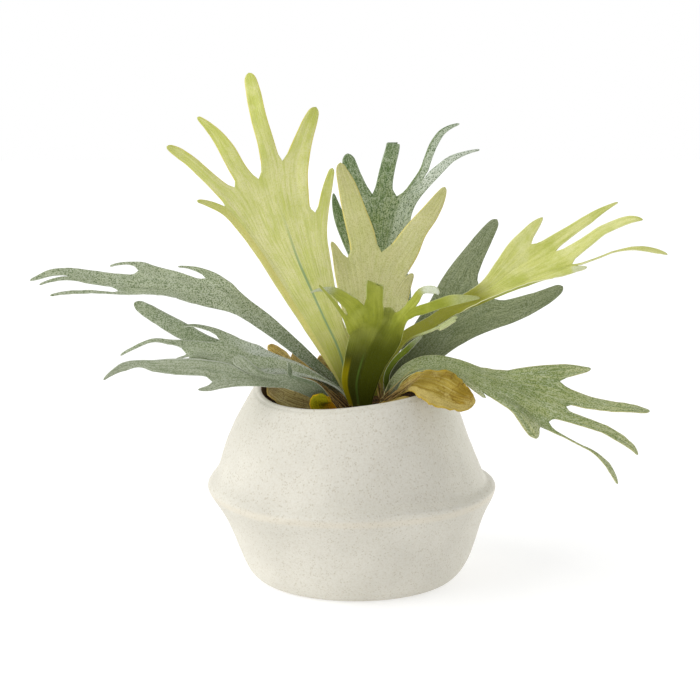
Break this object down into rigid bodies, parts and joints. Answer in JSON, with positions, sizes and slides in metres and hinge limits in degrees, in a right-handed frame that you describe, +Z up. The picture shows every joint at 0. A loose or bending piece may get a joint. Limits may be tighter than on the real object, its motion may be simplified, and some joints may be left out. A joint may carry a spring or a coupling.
{
  "type": "potted staghorn fern",
  "caption": "Staghorn fern with antler-shaped fronds and papery basal leaves in an off-white stoneware pot with a belt ridge.",
  "frame": {"origin": "centre of the pot's flat base, on the surface it stands on", "axes": "+Z up; +X to the right as seen in the reference view; +Y away from that view"},
  "size_m": [0.4601, 0.218, 0.3787],
  "materials": {
    "stoneware": "matt",
    "soil": "crumbly mix of bark and peat",
    "fibre": "fibrous",
    "frond": "fine felt",
    "dry_leaf": "papery"
  },
  "bodies": {
    "root": {"pot": "stoneware", "soil": "soil", "crown": "fibre", "frond_tall_lime": "frond", "frond_pale_centre": "frond", "frond_front_olive": "frond", "frond_back_dark": "frond", "frond_right_back": "frond", "frond_right_lime": "frond", "frond_left_high": "frond", "frond_left_dark": "frond", "frond_left_mid": "frond", "frond_left_low": "frond", "frond_right_front": "frond", "leaf_narrow": "frond", "basal_leaf_right": "dry_leaf", "basal_leaf_small": "dry_leaf", "basal_leaf_left": "dry_leaf", "basal_leaf_back": "dry_leaf", "leaf_bud": "frond"}
  },
  "joints": []
}
